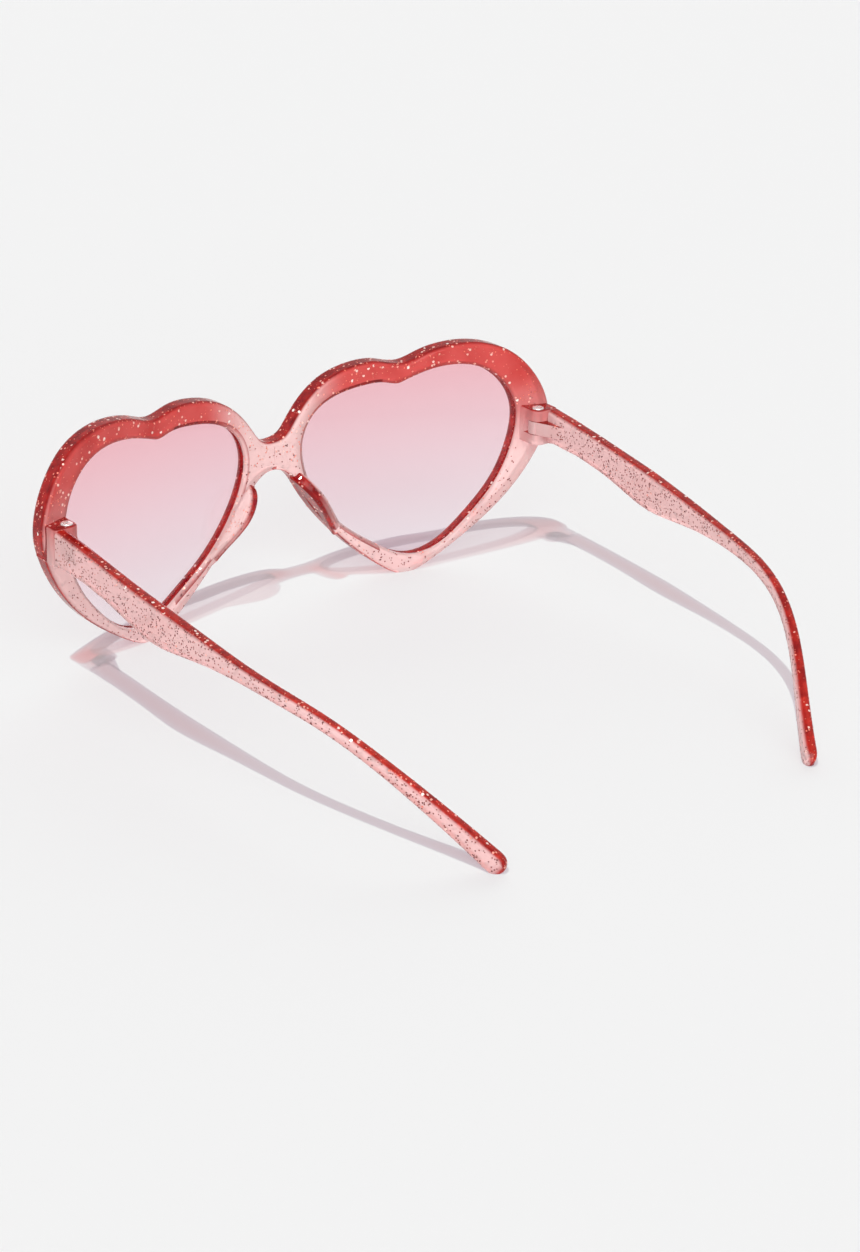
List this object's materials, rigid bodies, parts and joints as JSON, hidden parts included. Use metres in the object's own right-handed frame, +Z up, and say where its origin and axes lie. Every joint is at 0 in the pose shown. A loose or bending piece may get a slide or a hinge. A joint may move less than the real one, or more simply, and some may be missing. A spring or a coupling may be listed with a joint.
{
  "type": "heart shaped sunglasses",
  "caption": "Sunglasses with a wrapped one-piece front of heart shaped rims, tinted lenses and slim temples that fold on screwed plastic hinges",
  "frame": {"origin": "centre of the footprint box, on the table that the glasses stand on", "axes": "+Z up, +Y to the back along the temples, +X to the wearer's left"},
  "size_m": [0.146, 0.1498, 0.0574],
  "materials": {
    "glitter_plastic": "clear coral plastic with glitter, polished",
    "lens_tint": "clear pink tint, darker at the top",
    "screw_steel": "bright plated"
  },
  "bodies": {
    "front": {"front_frame": "glitter_plastic", "left_lens": "lens_tint", "right_lens": "lens_tint", "left_hinge_screw": "screw_steel", "right_hinge_screw": "screw_steel", "left_hinge_nut": "screw_steel", "right_hinge_nut": "screw_steel"},
    "left_temple": {"left_temple": "glitter_plastic"},
    "right_temple": {"right_temple": "glitter_plastic"}
  },
  "joints": [
    {"name": "left_temple_fold", "type": "hinge", "parent": "front", "child": "left_temple", "pos_m": [0.0677, -0.05449, 0.0355], "axis": [0, 0, 1], "range_deg": [0, 84]},
    {"name": "right_temple_fold", "type": "hinge", "parent": "front", "child": "right_temple", "pos_m": [-0.0677, -0.05449, 0.0355], "axis": [0, 0, -1], "range_deg": [-1.6, 77]}
  ]
}
